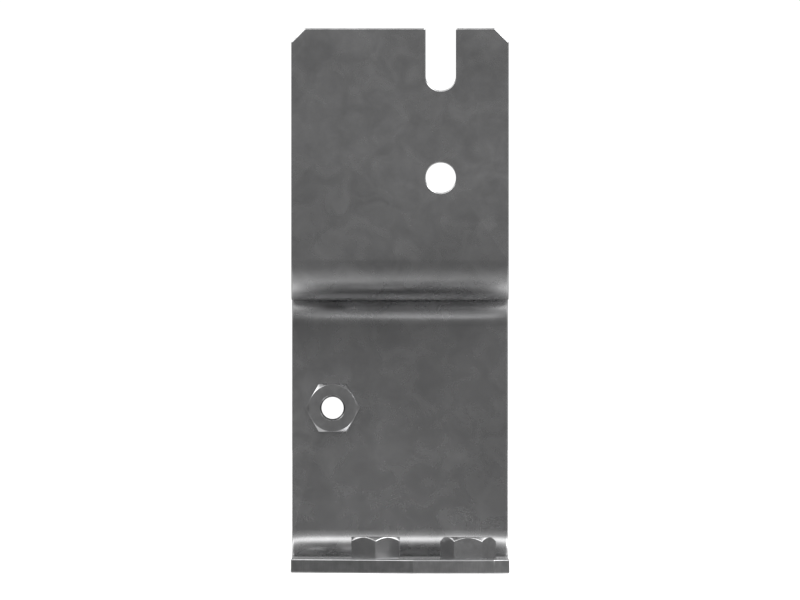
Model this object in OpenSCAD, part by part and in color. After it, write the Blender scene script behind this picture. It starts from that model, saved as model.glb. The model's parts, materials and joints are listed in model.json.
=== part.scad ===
// Roof anchor: a bracket bent from one sheet, with three hex weld nuts.
// Frame: X across the width, Y to the back, Z up. The origin is the middle of the bounding box in X
// and Y, at the underside of the base flange. The base flange points to the front, -Y.

/* [Sheet] */
// Width of the sheet, along X
sheet_w = 50.8; // [48:0.1:60]
// Thickness of the sheet
sheet_t = 3.175; // [2.5:0.025:4]
// Inside radius of every bend
bend_r = 6.35; // [4:0.05:8]

/* [Bracket] */
// Overall height, from the underside of the base flange to the top edge
bracket_h = 127; // [115:0.5:150]
// Overall depth, from the front edge of the base flange to the back of the upright
bracket_d = 76.2; // [74:0.1:95]
// Height of the shelf's underside
shelf_z = 63.5; // [55:0.5:70]
// How far the upper plate stands in front of the upright, front face to front face
shelf_reach = 41.275; // [30:0.025:50]

/* [Upper plate] */
// Diameter of the bolt hole
hole_d = 7.1; // [6:0.1:8.5]
// Place of the bolt hole and the slot along X, to the right of the middle
hole_x = 9.525; // [0:0.025:14]
// Depth of the bolt hole's centre below the top edge
hole_drop = 34.925; // [28:0.025:38]
// Width of the open slot in the top edge
slot_w = 7.1; // [6:0.1:8.5]
// Depth of the slot, from the top edge to the bottom of its round end
slot_depth = 14.6; // [10:0.1:18]
// Leg of the 45 degree cut on both top corners
top_corner = 3.25; // [1:0.05:6]

/* [Base flange] */
// Width of the skew cut on the left front corner, along X
skew_w = 28.4; // [10:0.1:30]
// Depth of the skew cut on the left front corner, along Y
skew_d = 17; // [8:0.1:20]
// Leg of the 45 degree cut on the right front corner
base_corner = 3.5; // [1:0.05:5]

/* [Weld nuts] */
// Width of a nut across its flats
nut_af = 11.3; // [10:0.05:12]
// Height of a nut
nut_h = 5; // [4:0.05:6.5]
// Diameter of a nut's bore, the minor diameter of its thread
nut_bore_d = 5.2; // [4.8:0.05:5.6]
// Depth of the countersink at each end of a nut's bore
nut_sink = 0.4; // [0.2:0.05:0.6]
// Diameter of the clearance hole through the sheet under each nut
clearance_d = 7.1; // [6.5:0.1:8]
// Place of the upright's nut along X
upright_nut_x = -15.875; // [-17:0.025:-5]
// Height of the upright's nut
upright_nut_z = 38.1; // [25:0.1:42]
// Place of the base flange's left nut along X
left_nut_x = -5.7; // [-9:0.1:-1]
// Distance of the left nut's axis in front of the upright
left_nut_reach = 40; // [22:0.1:48]
// Place of the base flange's right nut along X
right_nut_x = 15.875; // [12:0.025:17]
// Distance of the right nut's axis in front of the upright
right_nut_reach = 48; // [22:0.1:52]

/* [Hidden] */

$fn = 96;
// How far a cutting shape runs past the surface that it cuts
past = 1;

bend_out = bend_r + sheet_t;
front_y = -bracket_d / 2;
back_y = bracket_d / 2;
upright_y = back_y - sheet_t;
upper_y = upright_y - shelf_reach;
hole_z = bracket_h - hole_drop;
// Across the corners of a nut, and how far a corner stands outside the flats
nut_ac = nut_af / cos(30);
nut_corner = (nut_ac - nut_af) / 2;

// A quarter of a bend's ring about (y, z), in the quadrant that side_y and side_z point to
module bend(y, z, side_y, side_z) {
    translate([y, z])
        intersection() {
            difference() {
                circle(r = bend_out);
                circle(r = bend_r);
            }
            translate([side_y < 0 ? -bend_out : 0, side_z < 0 ? -bend_out : 0])
                square(bend_out);
        }
}

// A straight leg of the sheet, from its lowest to its highest (y, z)
module leg(low, high) {
    translate(low)
        square(high - low);
}

// The sheet seen from the side, Y to the right and Z up
module side_profile() {
    lower_bend_y = upright_y - bend_r;
    upper_bend_y = upper_y + bend_out;
    upper_bend_z = shelf_z + bend_out;
    leg([front_y, 0], [back_y - bend_out, sheet_t]);
    bend(back_y - bend_out, bend_out, 1, -1);
    leg([upright_y, bend_out], [back_y, shelf_z - bend_r]);
    bend(lower_bend_y, shelf_z - bend_r, 1, 1);
    leg([upper_bend_y, shelf_z], [lower_bend_y, shelf_z + sheet_t]);
    bend(upper_bend_y, upper_bend_z, -1, -1);
    leg([upper_y, upper_bend_z], [upper_y + sheet_t, bracket_h]);
}

// A round hole through a vertical leg whose front face is at y
module cross_hole(x, y, z, d) {
    translate([x, y - past, z])
        rotate([-90, 0, 0])
            cylinder(d = d, h = sheet_t + 2 * past);
}

// A round hole through the base flange
module base_hole(x, reach) {
    translate([x, upright_y - reach, -past])
        cylinder(d = clearance_d, h = sheet_t + 2 * past);
}

// The open slot in the top edge of the upper plate
module top_slot() {
    arc_z = bracket_h - slot_depth + slot_w / 2;
    cross_hole(hole_x, upper_y, arc_z, slot_w);
    translate([hole_x - slot_w / 2, upper_y - past, arc_z])
        cube([slot_w, sheet_t + 2 * past, bracket_h]);
}

// A triangle with its square corner at the origin and legs along X and Y
module corner_triangle(leg_x, leg_y) {
    polygon([[0, 0], [leg_x, 0], [0, leg_y]]);
}

// The 45 degree cut on one top corner; side is -1 on the left and 1 on the right
module top_corner_cut(side) {
    cut = top_corner + past;
    translate([side * (sheet_w / 2 + past / 2), upper_y + sheet_t + past, bracket_h + past / 2])
        rotate([90, 0, 0])
            linear_extrude(sheet_t + 2 * past)
                corner_triangle(-side * cut, -cut);
}

// The cuts on the front corners of the base flange
module base_corner_cuts() {
    grow = 1 + past / skew_w + past / skew_d;
    translate([-sheet_w / 2 - past, front_y - past, -past])
        linear_extrude(sheet_t + 2 * past)
            corner_triangle(skew_w * grow, skew_d * grow);
    cut = base_corner + past;
    translate([sheet_w / 2 + past / 2, front_y - past / 2, -past])
        linear_extrude(sheet_t + 2 * past)
            corner_triangle(-cut, cut);
}

// The bent sheet with its holes, slot and cut corners
module anchor_plate() {
    color([0.38, 0.38, 0.39])
        difference() {
            translate([-sheet_w / 2, 0, 0])
                rotate([90, 0, 90])
                    linear_extrude(sheet_w)
                        side_profile();
            cross_hole(hole_x, upper_y, hole_z, hole_d);
            cross_hole(upright_nut_x, upright_y, upright_nut_z, clearance_d);
            base_hole(left_nut_x, left_nut_reach);
            base_hole(right_nut_x, right_nut_reach);
            top_slot();
            top_corner_cut(-1);
            top_corner_cut(1);
            base_corner_cuts();
        }
}

// A nut that stands on the XY plane, with two of its corners on the X axis
module weld_nut() {
    sink_r = nut_bore_d / 2 + nut_sink;
    color([0.40, 0.40, 0.41])
        difference() {
            intersection() {
                cylinder(d = nut_ac, h = nut_h, $fn = 6);
                // The 45 degree chamfer takes the corners off down from the circle that meets the flats
                rotate_extrude()
                    polygon([
                        [0, 0], [nut_ac, 0], [nut_ac, nut_h - nut_ac + nut_af / 2],
                        [nut_af / 2, nut_h], [0, nut_h]
                    ]);
            }
            translate([0, 0, -past])
                cylinder(d = nut_bore_d, h = nut_h + 2 * past);
            translate([0, 0, nut_h - nut_sink])
                cylinder(r1 = nut_bore_d / 2, r2 = sink_r, h = nut_sink);
            cylinder(r1 = sink_r, r2 = nut_bore_d / 2, h = nut_sink);
        }
}

// The nut on the front face of the upright, corners to the left and right
module upright_weld_nut() {
    translate([upright_nut_x, upright_y, upright_nut_z])
        rotate([90, 0, 0])
            weld_nut();
}

// The left nut on the base flange, one corner to the front
module base_weld_nut_left() {
    translate([left_nut_x, upright_y - left_nut_reach, sheet_t])
        rotate([0, 0, 30])
            weld_nut();
}

// The right nut on the base flange, one flat to the front
module base_weld_nut_right() {
    translate([right_nut_x, upright_y - right_nut_reach, sheet_t])
        weld_nut();
}

anchor_plate();
upright_weld_nut();
base_weld_nut_left();
base_weld_nut_right();
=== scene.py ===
import json
import math

import bpy
import numpy as np
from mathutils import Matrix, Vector, geometry


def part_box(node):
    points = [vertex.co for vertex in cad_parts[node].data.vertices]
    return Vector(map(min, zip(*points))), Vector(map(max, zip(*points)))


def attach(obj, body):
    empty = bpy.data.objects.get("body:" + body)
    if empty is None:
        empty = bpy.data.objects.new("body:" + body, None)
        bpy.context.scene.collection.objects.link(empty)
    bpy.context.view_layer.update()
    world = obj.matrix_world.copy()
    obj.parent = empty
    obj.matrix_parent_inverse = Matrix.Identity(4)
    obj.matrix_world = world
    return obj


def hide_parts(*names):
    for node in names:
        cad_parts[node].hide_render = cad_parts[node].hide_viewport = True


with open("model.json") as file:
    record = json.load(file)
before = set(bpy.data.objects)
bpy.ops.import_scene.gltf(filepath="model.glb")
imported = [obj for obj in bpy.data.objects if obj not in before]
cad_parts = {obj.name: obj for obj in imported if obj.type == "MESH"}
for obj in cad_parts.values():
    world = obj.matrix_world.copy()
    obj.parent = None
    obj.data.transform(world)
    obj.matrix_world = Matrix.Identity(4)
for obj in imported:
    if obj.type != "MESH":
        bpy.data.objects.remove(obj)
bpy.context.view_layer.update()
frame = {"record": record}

MM = 0.001
record = frame["record"]
MOUNTS = {m["name"]: m for m in record["mounts"]}
plate_low, plate_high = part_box("anchor_plate")


# ---------------------------------------------------------------- sizes, in metres

SHEET_T = 3.175 * MM
BEND_R = 6.35 * MM
# Radius of a bend at the middle of the sheet's thickness
MIDDLE_R = BEND_R + SHEET_T / 2
SHELF_Z = 63.5 * MM
SLOT_DEPTH = 14.6 * MM
TOP_CORNER = 3.25 * MM
SKEW_W, SKEW_D = 28.4 * MM, 17 * MM
BASE_CORNER = 3.5 * MM
CLEARANCE_R = MOUNTS["upright_screw_hole"]["dims"]["r_mm"] * MM
HOLE_R = MOUNTS["upper_bolt_hole"]["dims"]["r_mm"] * MM
NUT_BORE_R = MOUNTS["upright_nut_thread"]["dims"]["r_mm"] * MM
# Radius of the deburred rim along every edge of the sheet, and of its corners in plan
RIM_R = 0.29 * MM
PLAN_R = 0.5 * MM
# How far each face is drawn in at the ends of a bend, and how far that reaches across the sheet
THIN_DEPTH = 0.2 * MM
THIN_REACH = 2.2 * MM
UPPER_FRONT_Y = MOUNTS["upper_plate_front"]["pos_m"][1]


# ---------------------------------------------------------------- the bent path

class SheetPath:
    """The middle of the sheet from the base's front edge to the top edge, as legs and bends.

    A point of the flat blank is (x, s, n): across, along the path, and out of the sheet towards the
    base's top, the upright's front, the shelf's underside and the upper plate's front."""

    def __init__(self):
        out = BEND_R + SHEET_T
        base = plate_high.y - out - plate_low.y
        upright = SHELF_Z - BEND_R - out
        shelf = (plate_high.y - SHEET_T - BEND_R) - (UPPER_FRONT_Y + out)
        upper = plate_high.z - (SHELF_Z + out)
        self.parts = []
        at, heading, s = np.array([plate_low.y, SHEET_T / 2]), 0.0, 0.0
        # Each leg has its length and no turn; each bend turns the heading by a quarter circle
        steps = [(base, 0), (None, 1), (upright, 0), (None, 1), (shelf, 0), (None, -1), (upper, 0)]
        for length, turn in steps:
            length = length if turn == 0 else MIDDLE_R * math.pi / 2
            self.parts.append((s, s + length, turn, at.copy(), heading))
            if turn == 0:
                at = at + length * np.array([math.cos(heading), math.sin(heading)])
            else:
                at, heading = self._along(at, heading, turn, length)
            s += length
        self.length = s

    @staticmethod
    def _along(at, heading, turn, distance):
        """The point and heading reached after a distance along a bend."""
        normal = turn * np.array([-math.sin(heading), math.cos(heading)])
        centre = at + MIDDLE_R * normal
        after = heading + turn * distance / MIDDLE_R
        outward = -turn * np.array([-math.sin(after), math.cos(after)])
        return centre + MIDDLE_R * outward, after

    def centre_line(self, s):
        """The path's (y, z) at s and its heading there."""
        for start, end, turn, at, heading in self.parts:
            if s <= end or end == self.length:
                if turn == 0:
                    return at + (s - start) * np.array([math.cos(heading), math.sin(heading)]), heading
                return self._along(at, heading, turn, s - start)

    def place(self, x, s, n):
        (y, z), heading = self.centre_line(s)
        return (x, y - n * math.sin(heading), z + n * math.cos(heading))

    def stations(self, steps):
        """The values of s at every step of every bend, ends included."""
        found = []
        for start, end, turn, _, _ in self.parts:
            if turn:
                found += [start + (end - start) * i / steps for i in range(steps + 1)]
        return found

    def leg_start(self, index):
        """The value of s where a leg starts, counted from the base."""
        return self.parts[2 * index][0]


path = SheetPath()


def s_on_base(y):
    return y - plate_low.y


def s_on_upright(z):
    return path.leg_start(1) + z - (BEND_R + SHEET_T)


def s_on_upper(z):
    return path.length - (plate_high.z - z)


# ---------------------------------------------------------------- the flat blank

def rounded_corner(before, corner, after, radius, steps=5):
    """(point, outward normal) pairs round a convex corner of a counter-clockwise outline."""
    a, b, c = (np.array(p, float) for p in (before, corner, after))
    u, v = (b - a) / np.linalg.norm(b - a), (c - b) / np.linalg.norm(c - b)
    n1 = np.array([u[1], -u[0]])
    turn = math.acos(max(-1, min(1, float(u @ v))))
    setback = radius * math.tan(turn / 2)
    centre = b - u * setback - n1 * radius
    start = math.atan2(n1[1], n1[0])
    pairs = []
    for i in range(steps + 1):
        angle = start + turn * i / steps
        out = np.array([math.cos(angle), math.sin(angle)])
        pairs.append((centre + radius * out, out))
    return pairs


def arc(centre, radius, start, end, steps):
    """(point, outward normal) pairs along a concave arc: the normal points to the centre."""
    pairs = []
    for i in range(steps + 1):
        angle = start + (end - start) * i / steps
        out = np.array([math.cos(angle), math.sin(angle)])
        pairs.append((np.array(centre) + radius * out, -out))
    return pairs


def hole_loop(x, s, radius, steps=64):
    """A clockwise loop round a hole."""
    return arc((x, s), radius, 2 * math.pi, 2 * math.pi / steps, steps - 1)


def outline_loop(stations):
    left, right = plate_low.x, plate_high.x
    top = path.length
    slot_x = MOUNTS["top_slot"]["pos_m"][0]
    slot_s = top - SLOT_DEPTH + HOLE_R
    corners = [
        (left, SKEW_D), (left + SKEW_W, 0), (right - BASE_CORNER, 0), (right, BASE_CORNER),
        (right, top - TOP_CORNER), (right - TOP_CORNER, top), (slot_x + HOLE_R, top),
        (slot_x + HOLE_R, slot_s), (slot_x - HOLE_R, slot_s),
        (slot_x - HOLE_R, top), (left + TOP_CORNER, top), (left, top - TOP_CORNER),
    ]
    pairs = []
    count = len(corners)
    for i, corner in enumerate(corners):
        if i == 7:
            pairs += arc((slot_x, slot_s), HOLE_R, 0, -math.pi, 32)
        elif i != 8:
            pairs += rounded_corner(corners[i - 1], corner, corners[(i + 1) % count], PLAN_R)
        if i == 3:
            pairs += [(np.array([right, s]), np.array([1.0, 0.0])) for s in stations]
        if i == 11:
            pairs += [(np.array([left, s]), np.array([-1.0, 0.0])) for s in reversed(stations)]
    return pairs


def inside(point, loop):
    """Whether a point lies inside a closed loop of points."""
    x, y = point
    x0, y0 = loop[:, 0], loop[:, 1]
    x1, y1 = np.roll(x0, -1), np.roll(y0, -1)
    crosses = (y0 > y) != (y1 > y)
    with np.errstate(divide="ignore", invalid="ignore"):
        at = x0 + (y - y0) * (x1 - x0) / (y1 - y0)
    return bool(np.count_nonzero(crosses & (x < at)) % 2)


def face_triangles(loops, stations, columns=9):
    """Points and triangles that fill the outer loop, less the holes, with a row of edges at every station.

    The points of a row crowd towards its two ends."""
    points, edges = [], []
    for loop in loops:
        first = len(points)
        points += [tuple(p) for p in loop]
        edges += [(first + i, first + (i + 1) % len(loop)) for i in range(len(loop))]
    rim = len(points)
    left, right = loops[0][:, 0].min(), loops[0][:, 0].max()
    index = {(round(x / MM, 4), round(s / MM, 4)): i for i, (x, s) in enumerate(points)}
    for s in stations:
        row = [index[(round(left / MM, 4), round(s / MM, 4))]]
        half = (right - left) / 2
        inwards = [half * (c / columns) ** 2 for c in range(1, columns + 1)]
        for x in [left + d for d in inwards] + [right - d for d in reversed(inwards[:-1])]:
            points.append((x, s))
            row.append(len(points) - 1)
        row.append(index[(round(right / MM, 4), round(s / MM, 4))])
        edges += list(zip(row, row[1:]))
    made, _, faces, _, _, _ = geometry.delaunay_2d_cdt([Vector(p) for p in points], edges, [], 0, 1e-9)
    assert len(made) == len(points), (len(made), len(points))
    kept = []
    for face in faces:
        middle = sum((made[i] for i in face), Vector((0, 0))) / 3
        if inside(middle, loops[0]) and not any(inside(middle, loop) for loop in loops[1:]):
            kept.append(tuple(face))
    return [tuple(p) for p in made], kept, rim


def thinning(x, s):
    """How far each face is drawn in at the two ends of a bend, where the stretched sheet thins."""
    for start, end, turn, _, _ in path.parts:
        if turn and start < s < end:
            share = math.sin(math.pi * (s - start) / (end - start)) ** 2
            inwards = max(0, min(x - plate_low.x, plate_high.x - x))
            return THIN_DEPTH * share * math.exp(-inwards / THIN_REACH)
    return 0.0


def bent_sheet(name):
    """The whole sheet as one closed mesh, with a rounded rim along every edge."""
    bend_steps, rim_steps = 24, 4
    stations = path.stations(bend_steps)
    outer = outline_loop(stations)
    bolt = MOUNTS["upper_bolt_hole"]["pos_m"]
    screw = MOUNTS["upright_screw_hole"]["pos_m"]
    left = MOUNTS["base_screw_hole_left"]["pos_m"]
    right = MOUNTS["base_screw_hole_right"]["pos_m"]
    holes = [
        hole_loop(bolt[0], s_on_upper(bolt[2]), HOLE_R),
        hole_loop(screw[0], s_on_upright(screw[2]), CLEARANCE_R),
        hole_loop(left[0], s_on_base(left[1]), CLEARANCE_R),
        hole_loop(right[0], s_on_base(right[1]), CLEARANCE_R),
    ]
    loops = [outer] + holes
    inset = [np.array([p - RIM_R * n for p, n in loop]) for loop in loops]
    flat, triangles, rim = face_triangles(inset, stations)
    half = SHEET_T / 2
    verts, faces, wear, cut, blank = [], [], [], [], []
    # The two faces: the front one first, then the back one with its triangles turned over
    for side in (1, -1):
        first = len(verts)
        verts += [path.place(x, s, side * (half - thinning(x, s))) for x, s in flat]
        blank += [(x, s, side * half) for x, s in flat]
        wear += [0.3 if i < rim else 0.0 for i in range(len(flat))]
        cut += [0.0] * len(flat)
        faces += [tuple(first + i for i in (t if side == 1 else t[::-1])) for t in triangles]
    back = len(flat)
    # The rim: rings of points from the front face's loop, over the edge, to the back face's loop
    sides = [(math.pi / 2 * i / rim_steps, 1) for i in range(1, rim_steps + 1)]
    sides += [(math.pi / 2 * i / rim_steps, -1) for i in range(rim_steps, 0, -1)]
    first_of_loop = 0
    for loop in loops:
        count = len(loop)
        rings = [list(range(first_of_loop, first_of_loop + count))]
        for angle, side in sides:
            ring = []
            for p, n in loop:
                x, s = p - RIM_R * (1 - math.sin(angle)) * n
                out = side * (half - RIM_R * (1 - math.cos(angle)) - thinning(x, s))
                ring.append(len(verts))
                verts.append(path.place(x, s, out))
                blank.append((x, s, out))
                wear.append(1.0)
                cut.append(math.sin(angle) ** 4)
            rings.append(ring)
        rings.append([back + i for i in rings[0]])
        for upper, lower in zip(rings, rings[1:]):
            for i in range(count):
                j = (i + 1) % count
                faces.append((upper[i], lower[i], lower[j], upper[j]))
        first_of_loop += count
    return finished_mesh(name, verts, faces, wear, cut, blank)


def finished_mesh(name, verts, faces, wear, cut, blank):
    """An object with smooth shading that follows its large faces.

    Each point keeps its wear, how far it lies on a cut edge, and its place on the flat blank, which for
    a nut is its own position."""
    mesh = bpy.data.meshes.new(name)
    mesh.from_pydata([tuple(v) for v in verts], [], faces)
    mesh.validate()
    mesh.update()
    mesh.attributes.new("wear", "FLOAT", "POINT").data.foreach_set("value", np.array(wear, np.float32))
    mesh.attributes.new("cut", "FLOAT", "POINT").data.foreach_set("value", np.array(cut, np.float32))
    places = np.array(blank, np.float32).ravel()
    mesh.attributes.new("blank", "FLOAT_VECTOR", "POINT").data.foreach_set("vector", places)
    mesh.polygons.foreach_set("use_smooth", [True] * len(mesh.polygons))
    obj = bpy.data.objects.new(name, mesh)
    bpy.context.scene.collection.objects.link(obj)
    weighted = obj.modifiers.new("weighted_normals", "WEIGHTED_NORMAL")
    weighted.mode = "FACE_AREA"
    weighted.weight = 50
    weighted.keep_sharp = False
    return obj


# ---------------------------------------------------------------- weld nuts

# Depth of the countersink at each end of the bore
NUT_SINK = 0.4 * MM
# Radii of the six corners, of the chamfer's edges, and of the countersinks' lips and the foot
NUT_CORNER_R = 0.22 * MM
NUT_EDGE_R = 0.28 * MM
NUT_LIP_R = 0.1 * MM
# The chamfer starts at this share of the width across flats
NUT_CHAMFER = 0.985
THREAD_PITCH = 1.27 * MM
THREAD_DEPTH = 0.575 * MM
# Rows of points along a nut's thread
THREAD_ROWS = 44


def rounded_profile(points, radii, steps):
    """A polyline of (r, z) points with each inner corner rounded, always with the same number of points."""
    made = [points[0]]
    for i in range(1, len(points) - 1):
        a, b, c = (np.array(p, float) for p in points[i - 1:i + 2])
        u, v = a - b, c - b
        lu, lv = np.linalg.norm(u), np.linalg.norm(v)
        u, v = u / lu, v / lv
        angle = math.acos(max(-1, min(1, float(u @ v))))
        setback = min(radii[i] / math.tan(angle / 2), 0.45 * lu, 0.45 * lv)
        radius = setback * math.tan(angle / 2)
        centre = b + (u + v) / np.linalg.norm(u + v) * radius / math.sin(angle / 2)
        p, q = b + u * setback - centre, b + v * setback - centre
        sweep = math.acos(max(-1, min(1, float(p @ q) / radius ** 2)))
        for k in range(steps + 1):
            w = k / steps
            mix = (math.sin((1 - w) * sweep) * p + math.sin(w * sweep) * q) / math.sin(sweep)
            made.append(centre + mix)
    made.append(points[-1])
    return made


def nut_columns(flats, corner_steps=6, flat_steps=14):
    """Points round a hexagon with rounded corners, the first corner on +X."""
    middle = (flats / 2 - NUT_CORNER_R) / math.cos(math.pi / 6)
    points = []
    for k in range(6):
        corner = k * math.pi / 3
        centre = middle * np.array([math.cos(corner), math.sin(corner)])
        ring = []
        for i in range(corner_steps + 1):
            angle = corner - math.pi / 6 + math.pi / 3 * i / corner_steps
            ring.append(centre + NUT_CORNER_R * np.array([math.cos(angle), math.sin(angle)]))
        points += ring
        after = middle * np.array([math.cos(corner + math.pi / 3), math.sin(corner + math.pi / 3)])
        out = corner + math.pi / 6
        end = after + NUT_CORNER_R * np.array([math.cos(out), math.sin(out)])
        points += [ring[-1] + (end - ring[-1]) * i / flat_steps for i in range(1, flat_steps)]
    return points


def thread_groove(phase):
    """Depth of a thread from 0 at the crest to 1 at the root, over one turn of phase."""
    distance = abs((phase % 1) - 0.5)
    return min(1, max(0, (0.375 - distance) / 0.3125))


def weld_nut(name, node, up):
    """A chamfered hex nut with a threaded bore, in the place of its CAD node."""
    low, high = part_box(node)
    up = Vector(up)
    across = sorted((i for i in range(3) if abs(up[i]) < 0.5), key=lambda i: high[i] - low[i])
    flats = high[across[0]] - low[across[0]]
    height = abs((high - low).dot(up))
    corner = Vector([1.0 if i == across[1] else 0.0 for i in range(3)])
    side = up.cross(corner)
    middle = (low + high) / 2
    foot = middle - up * height / 2
    chamfer_r = flats / 2 * NUT_CHAMFER
    sink_r = NUT_BORE_R + NUT_SINK
    verts, wear = [], []
    columns = nut_columns(flats)
    for x, y in columns:
        reach = math.hypot(x, y)
        angle = math.atan2(y, x)
        edge_z = height - (reach - chamfer_r)
        shape = [
            (NUT_BORE_R, NUT_SINK), (sink_r, 0), (reach, 0), (reach, edge_z),
            (chamfer_r, height), (sink_r, height), (NUT_BORE_R, height - NUT_SINK),
        ]
        radii = [0, NUT_LIP_R, NUT_LIP_R, NUT_EDGE_R, NUT_EDGE_R, NUT_LIP_R, 0]
        profile = rounded_profile(shape, radii, 4)
        # Wear of the profile's points: one in the bore, five for each rounded edge from the foot's
        # countersink to the top's, and one in the bore
        marks = [0.1] + [0.3] * 5 + [0.4] * 5 + [1.0] * 5 + [0.8] * 5 + [0.5] * 5 + [0.1]
        for k in range(1, THREAD_ROWS):
            z = NUT_SINK + (height - 2 * NUT_SINK) * (1 - k / THREAD_ROWS)
            fade = min(1, (min(z, height - z) - NUT_SINK) / (0.5 * THREAD_PITCH))
            groove = THREAD_DEPTH * fade * thread_groove(z / THREAD_PITCH - angle / (2 * math.pi))
            profile.append((NUT_BORE_R + groove, z))
            marks.append(0.1)
        for (r, z), mark in zip(profile, marks):
            verts.append(foot + corner * (r * x / reach) + side * (r * y / reach) + up * z)
            wear.append(mark)
    ring, count = len(verts) // len(columns), len(columns)
    faces = []
    for c in range(count):
        d = (c + 1) % count
        for k in range(ring):
            m = (k + 1) % ring
            faces.append((c * ring + k, d * ring + k, d * ring + m, c * ring + m))
    return finished_mesh(name, verts, faces, wear, [0.0] * len(verts), verts)


# ---------------------------------------------------------------- materials

class Nodes:
    """A small helper that adds nodes to one tree and links them."""

    def __init__(self, tree):
        self.tree = tree

    def add(self, kind, **values):
        node = self.tree.nodes.new(kind)
        for key, value in values.items():
            setattr(node, key, value)
        return node

    def link(self, source, target):
        self.tree.links.new(source, target)

    def noise(self, where, scale, detail=4.0, roughness=0.55, distortion=0.0):
        node = self.add("ShaderNodeTexNoise")
        node.inputs["Scale"].default_value = scale
        node.inputs["Detail"].default_value = detail
        node.inputs["Roughness"].default_value = roughness
        node.inputs["Distortion"].default_value = distortion
        self.link(where, node.inputs["Vector"])
        return node.outputs["Fac"]

    def spread(self, value, low, high, to_low, to_high):
        node = self.add("ShaderNodeMapRange", clamp=True)
        for key, number in (("From Min", low), ("From Max", high), ("To Min", to_low), ("To Max", to_high)):
            node.inputs[key].default_value = number
        self.link(value, node.inputs["Value"])
        return node.outputs["Result"]

    def math(self, operation, a, b):
        node = self.add("ShaderNodeMath", operation=operation)
        for socket, value in zip(node.inputs, (a, b)):
            if isinstance(value, (int, float)):
                socket.default_value = value
            else:
                self.link(value, socket)
        return node.outputs["Value"]


def galvanised(name, tone, mottle, base_rough, seed):
    """Dull dark zinc-coated steel: cloudy mottling, faint spangle, fine grain, and paler worn edges."""
    material = bpy.data.materials.new(name)
    material.use_nodes = True
    tree = material.node_tree
    nodes = Nodes(tree)
    shader = tree.nodes["Principled BSDF"]
    shader.inputs["Metallic"].default_value = 1.0
    coords = nodes.add("ShaderNodeTexCoord").outputs["Object"]
    shift = nodes.add("ShaderNodeVectorMath", operation="ADD")
    shift.inputs[1].default_value = (seed, seed * 0.7, seed * 1.3)
    nodes.link(coords, shift.inputs[0])
    where = shift.outputs["Vector"]

    clouds = nodes.noise(where, 60, detail=4, roughness=0.5, distortion=0.5)
    patches = nodes.noise(where, 170, detail=5, roughness=0.55, distortion=0.9)
    grain = nodes.noise(where, 2600, detail=2, roughness=0.6)
    spangle = nodes.add("ShaderNodeTexVoronoi", feature="F1")
    spangle.inputs["Scale"].default_value = 420
    nodes.link(where, spangle.inputs["Vector"])
    spangle_tone = nodes.add("ShaderNodeSeparateColor")
    nodes.link(spangle.outputs["Color"], spangle_tone.inputs["Color"])

    # A cut edge is darker and duller than the faces, with fine lines through the thickness of the sheet
    blank = nodes.add("ShaderNodeAttribute", attribute_name="blank").outputs["Vector"]
    squash = nodes.add("ShaderNodeVectorMath", operation="MULTIPLY")
    squash.inputs[1].default_value = (1, 1, 0.12)
    nodes.link(blank, squash.inputs[0])
    lines = nodes.noise(squash.outputs["Vector"], 3200, detail=3, roughness=0.6)
    cut = nodes.add("ShaderNodeAttribute", attribute_name="cut").outputs["Fac"]

    value = nodes.spread(clouds, 0.3, 0.7, 1 - mottle, 1 + mottle)
    value = nodes.math("MULTIPLY", value,
                       nodes.spread(patches, 0.3, 0.7, 1 - mottle * 0.9, 1 + mottle * 0.9))
    value = nodes.math("MULTIPLY", value,
                       nodes.spread(spangle_tone.outputs["Red"], 0, 1, 1 - mottle * 0.1, 1 + mottle * 0.1))
    value = nodes.math("MULTIPLY", value, nodes.spread(grain, 0.3, 0.7, 0.985, 1.015))
    worn = nodes.add("ShaderNodeAttribute", attribute_name="wear").outputs["Fac"]
    wear_noise = nodes.spread(nodes.noise(where, 500, detail=3), 0.4, 0.65, 0.6, 1.0)
    worn = nodes.math("MULTIPLY", worn, wear_noise)
    value = nodes.math("MULTIPLY", value, nodes.spread(worn, 0, 1, 1.0, 1.55))
    scored = nodes.math("MULTIPLY", cut, nodes.spread(lines, 0.35, 0.65, -0.25, -0.17))
    value = nodes.math("MULTIPLY", value, nodes.math("ADD", scored, 1.0))

    tint = nodes.add("ShaderNodeCombineColor")
    for channel, share in (("Red", 1.0), ("Green", 1.0), ("Blue", 1.01)):
        nodes.link(nodes.math("MULTIPLY", value, tone * share), tint.inputs[channel])
    nodes.link(tint.outputs["Color"], shader.inputs["Base Color"])

    rough = nodes.spread(patches, 0.3, 0.7, base_rough - 0.015, base_rough + 0.02)
    rough = nodes.math("ADD", rough, nodes.spread(clouds, 0.3, 0.7, 0.01, -0.01))
    rough = nodes.math("ADD", rough, nodes.spread(worn, 0, 1, 0.0, -0.03))
    rough = nodes.math("ADD", rough, nodes.math("MULTIPLY", cut, 0.05))
    nodes.link(rough, shader.inputs["Roughness"])

    height = nodes.math("ADD", nodes.math("MULTIPLY", patches, 0.6), nodes.math("MULTIPLY", grain, 0.12))
    height = nodes.math("ADD", height, nodes.math("MULTIPLY", nodes.math("MULTIPLY", lines, cut), 0.5))
    bump = nodes.add("ShaderNodeBump")
    bump.inputs["Strength"].default_value = 0.15
    bump.inputs["Distance"].default_value = 0.00006
    nodes.link(height, bump.inputs["Height"])
    nodes.link(bump.outputs["Normal"], shader.inputs["Normal"])
    return material


# ---------------------------------------------------------------- studio

# The level that a light ramp's white stands for
BRIGHTEST = 4.0
# A softbox to the right of the camera: degrees round from the front, degrees up, and its level
BOX_TURN, BOX_RISE, BOX_LEVEL = 56, 44, 3.2
# Degrees from the softbox's middle where it starts to fade, and where it ends
BOX_INNER, BOX_OUTER = 14, 24
FLOOR_WIDTH = 8.0
# The floor lies just below the base, so that the two faces don't share a plane
FLOOR_DROP = 0.05 * MM
CAMERA_DISTANCE = 5.0
# Width of the view at the upright's front face
SEEN_WIDTH = 188.44 * MM


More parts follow.
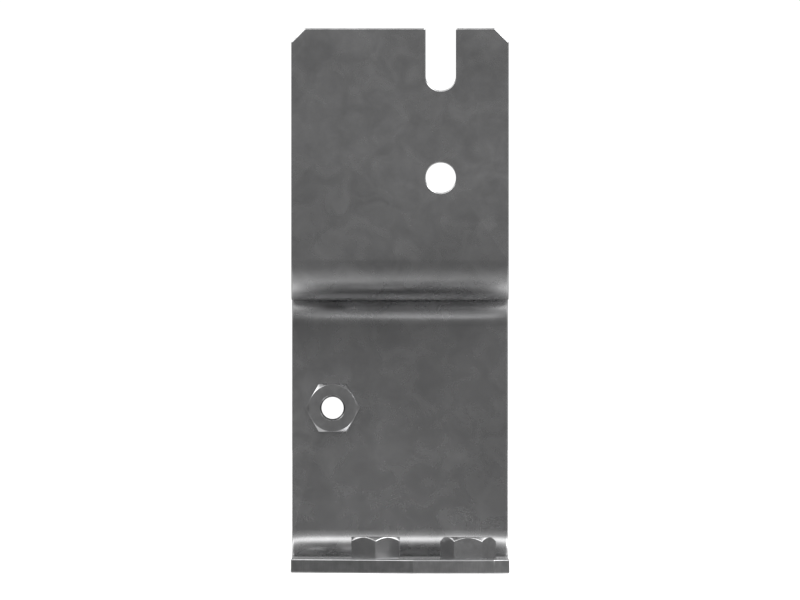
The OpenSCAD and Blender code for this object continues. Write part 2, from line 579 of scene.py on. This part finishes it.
def light_ramp(nodes, height, stops):
    """The studio's level against elevation, from (degrees, level) stops."""
    ramp = nodes.add("ShaderNodeValToRGB")
    elements = ramp.color_ramp.elements
    while len(elements) > 1:
        elements.remove(elements[0])
    for i, (angle, level) in enumerate(stops):
        element = elements[0] if i == 0 else elements.new(1.0)
        element.position = (math.sin(math.radians(angle)) + 1) / 2
        element.color = (level / BRIGHTEST,) * 3 + (1,)
    nodes.link(height, ramp.inputs["Fac"])
    return ramp.outputs["Color"]


def world_light():
    """A soft white studio: a bright band at about 40 degrees up, a dim wall and a pale lower half."""
    world = bpy.data.worlds.new("studio")
    bpy.context.scene.world = world
    world.use_nodes = True
    tree = world.node_tree
    nodes = Nodes(tree)
    back = tree.nodes["Background"]
    coords = nodes.add("ShaderNodeTexCoord").outputs["Generated"]
    split = nodes.add("ShaderNodeSeparateXYZ")
    nodes.link(coords, split.inputs["Vector"])
    height = nodes.spread(split.outputs["Z"], -1, 1, 0, 1)
    front = light_ramp(nodes, height, [
        (-90, 1.4), (-72, 0.75), (-58, 0.55), (-45, 0.42), (-28, 0.26), (0, 0.2), (12, 0.42),
        (26, 0.42), (34, 1.2), (38, 3.0), (43, 3.0), (50, 1.4), (60, 0.7), (90, 0.38),
    ])
    sides = light_ramp(nodes, height, [
        (-90, 1.4), (-50, 1.25), (-20, 0.34), (0, 0.17), (24, 0.4), (34, 3.8),
        (50, 3.8), (60, 1.0), (90, 0.38),
    ])
    sideways = nodes.math("MULTIPLY", split.outputs["X"], split.outputs["X"])
    both = nodes.add("ShaderNodeMix", data_type="RGBA")
    nodes.link(nodes.spread(sideways, 0.05, 0.75, 0, 1), both.inputs["Factor"])
    nodes.link(front, both.inputs[6])
    nodes.link(sides, both.inputs[7])
    towards = nodes.add("ShaderNodeVectorMath", operation="DOT_PRODUCT")
    nodes.link(coords, towards.inputs[0])
    turn, rise = math.radians(BOX_TURN), math.radians(BOX_RISE)
    towards.inputs[1].default_value = (
        math.sin(turn) * math.cos(rise), -math.cos(turn) * math.cos(rise), math.sin(rise),
    )
    box = nodes.spread(towards.outputs["Value"], math.cos(math.radians(BOX_OUTER)),
                       math.cos(math.radians(BOX_INNER)), 0, BOX_LEVEL)
    behind = nodes.math("MULTIPLY", nodes.spread(split.outputs["Y"], 0.0, 0.6, 0, 0.55),
                        nodes.spread(split.outputs["Z"], 0.15, 0.4, 0, 1))
    shade = nodes.math("MULTIPLY", nodes.spread(split.outputs["X"], -1, 1, 0.8, 1.2),
                       nodes.math("SUBTRACT", 1.0, behind))
    lit = nodes.add("ShaderNodeMix", data_type="RGBA", blend_type="ADD")
    lit.inputs["Factor"].default_value = 1.0
    nodes.link(both.outputs[2], lit.inputs[6])
    nodes.link(nodes.math("DIVIDE", box, BRIGHTEST), lit.inputs[7])
    nodes.link(lit.outputs[2], back.inputs["Color"])
    nodes.link(nodes.math("MULTIPLY", shade, BRIGHTEST), back.inputs["Strength"])
    plain = nodes.add("ShaderNodeBackground")
    plain.inputs["Color"].default_value = (1, 1, 1, 1)
    plain.inputs["Strength"].default_value = 1.05
    seen = nodes.add("ShaderNodeLightPath").outputs["Is Camera Ray"]
    mix = nodes.add("ShaderNodeMixShader")
    nodes.link(seen, mix.inputs["Fac"])
    nodes.link(back.outputs["Background"], mix.inputs[1])
    nodes.link(plain.outputs["Background"], mix.inputs[2])
    nodes.link(mix.outputs["Shader"], tree.nodes["World Output"].inputs["Surface"])


def floor_plane():
    """A plain pale floor that only the camera sees: the world's lower half stands for it in reflections."""
    half = FLOOR_WIDTH / 2
    corners = [(-half, -half, 0), (half, -half, 0), (half, half, 0), (-half, half, 0)]
    mesh = bpy.data.meshes.new("floor")
    mesh.from_pydata(corners, [], [(0, 1, 2, 3)])
    floor = bpy.data.objects.new("floor", mesh)
    bpy.context.scene.collection.objects.link(floor)
    floor.location.z = -FLOOR_DROP
    floor.visible_glossy = False
    floor.visible_diffuse = False
    material = bpy.data.materials.new("pale_floor")
    material.use_nodes = True
    shader = material.node_tree.nodes["Principled BSDF"]
    shader.inputs["Base Color"].default_value = (0.6, 0.6, 0.6, 1)
    shader.inputs["Roughness"].default_value = 0.9
    shader.inputs["Specular IOR Level"].default_value = 0.0
    shader.inputs["Emission Color"].default_value = (1, 1, 1, 1)
    shader.inputs["Emission Strength"].default_value = 0.6
    mesh.materials.append(material)


def camera():
    """A long lens straight in front, level with the shelf's underside."""
    data = bpy.data.cameras.new("camera")
    data.sensor_width = 36.0
    data.lens = data.sensor_width * CAMERA_DISTANCE / SEEN_WIDTH
    data.clip_start, data.clip_end = 0.1, 50.0
    cam = bpy.data.objects.new("camera", data)
    cam.location = (0, plate_high.y - SHEET_T - CAMERA_DISTANCE, SHELF_Z)
    cam.rotation_euler = (math.pi / 2, 0, 0)
    bpy.context.scene.collection.objects.link(cam)
    bpy.context.scene.camera = cam


# ---------------------------------------------------------------- the object

bpy.context.scene.view_settings.view_transform = "Standard"
camera()
world_light()
floor_plane()

sheet_steel = galvanised("sheet_steel", tone=0.40, mottle=0.095, base_rough=0.27, seed=0.0)
nut_steel = galvanised("nut_steel", tone=0.42, mottle=0.035, base_rough=0.19, seed=3.1)

pieces = [(bent_sheet("bent_sheet"), "anchor_plate", sheet_steel, "galvanised_sheet")]
for nut, node, up in (
    ("upright_nut", "upright_weld_nut", (0, -1, 0)),
    ("base_nut_left", "base_weld_nut_left", (0, 0, 1)),
    ("base_nut_right", "base_weld_nut_right", (0, 0, 1)),
):
    pieces.append((weld_nut(nut, node, up), node, nut_steel, "nut_steel"))
for piece, node, material, slot in pieces:
    piece.data.materials.append(material)
    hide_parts(node)
    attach(piece, "root")
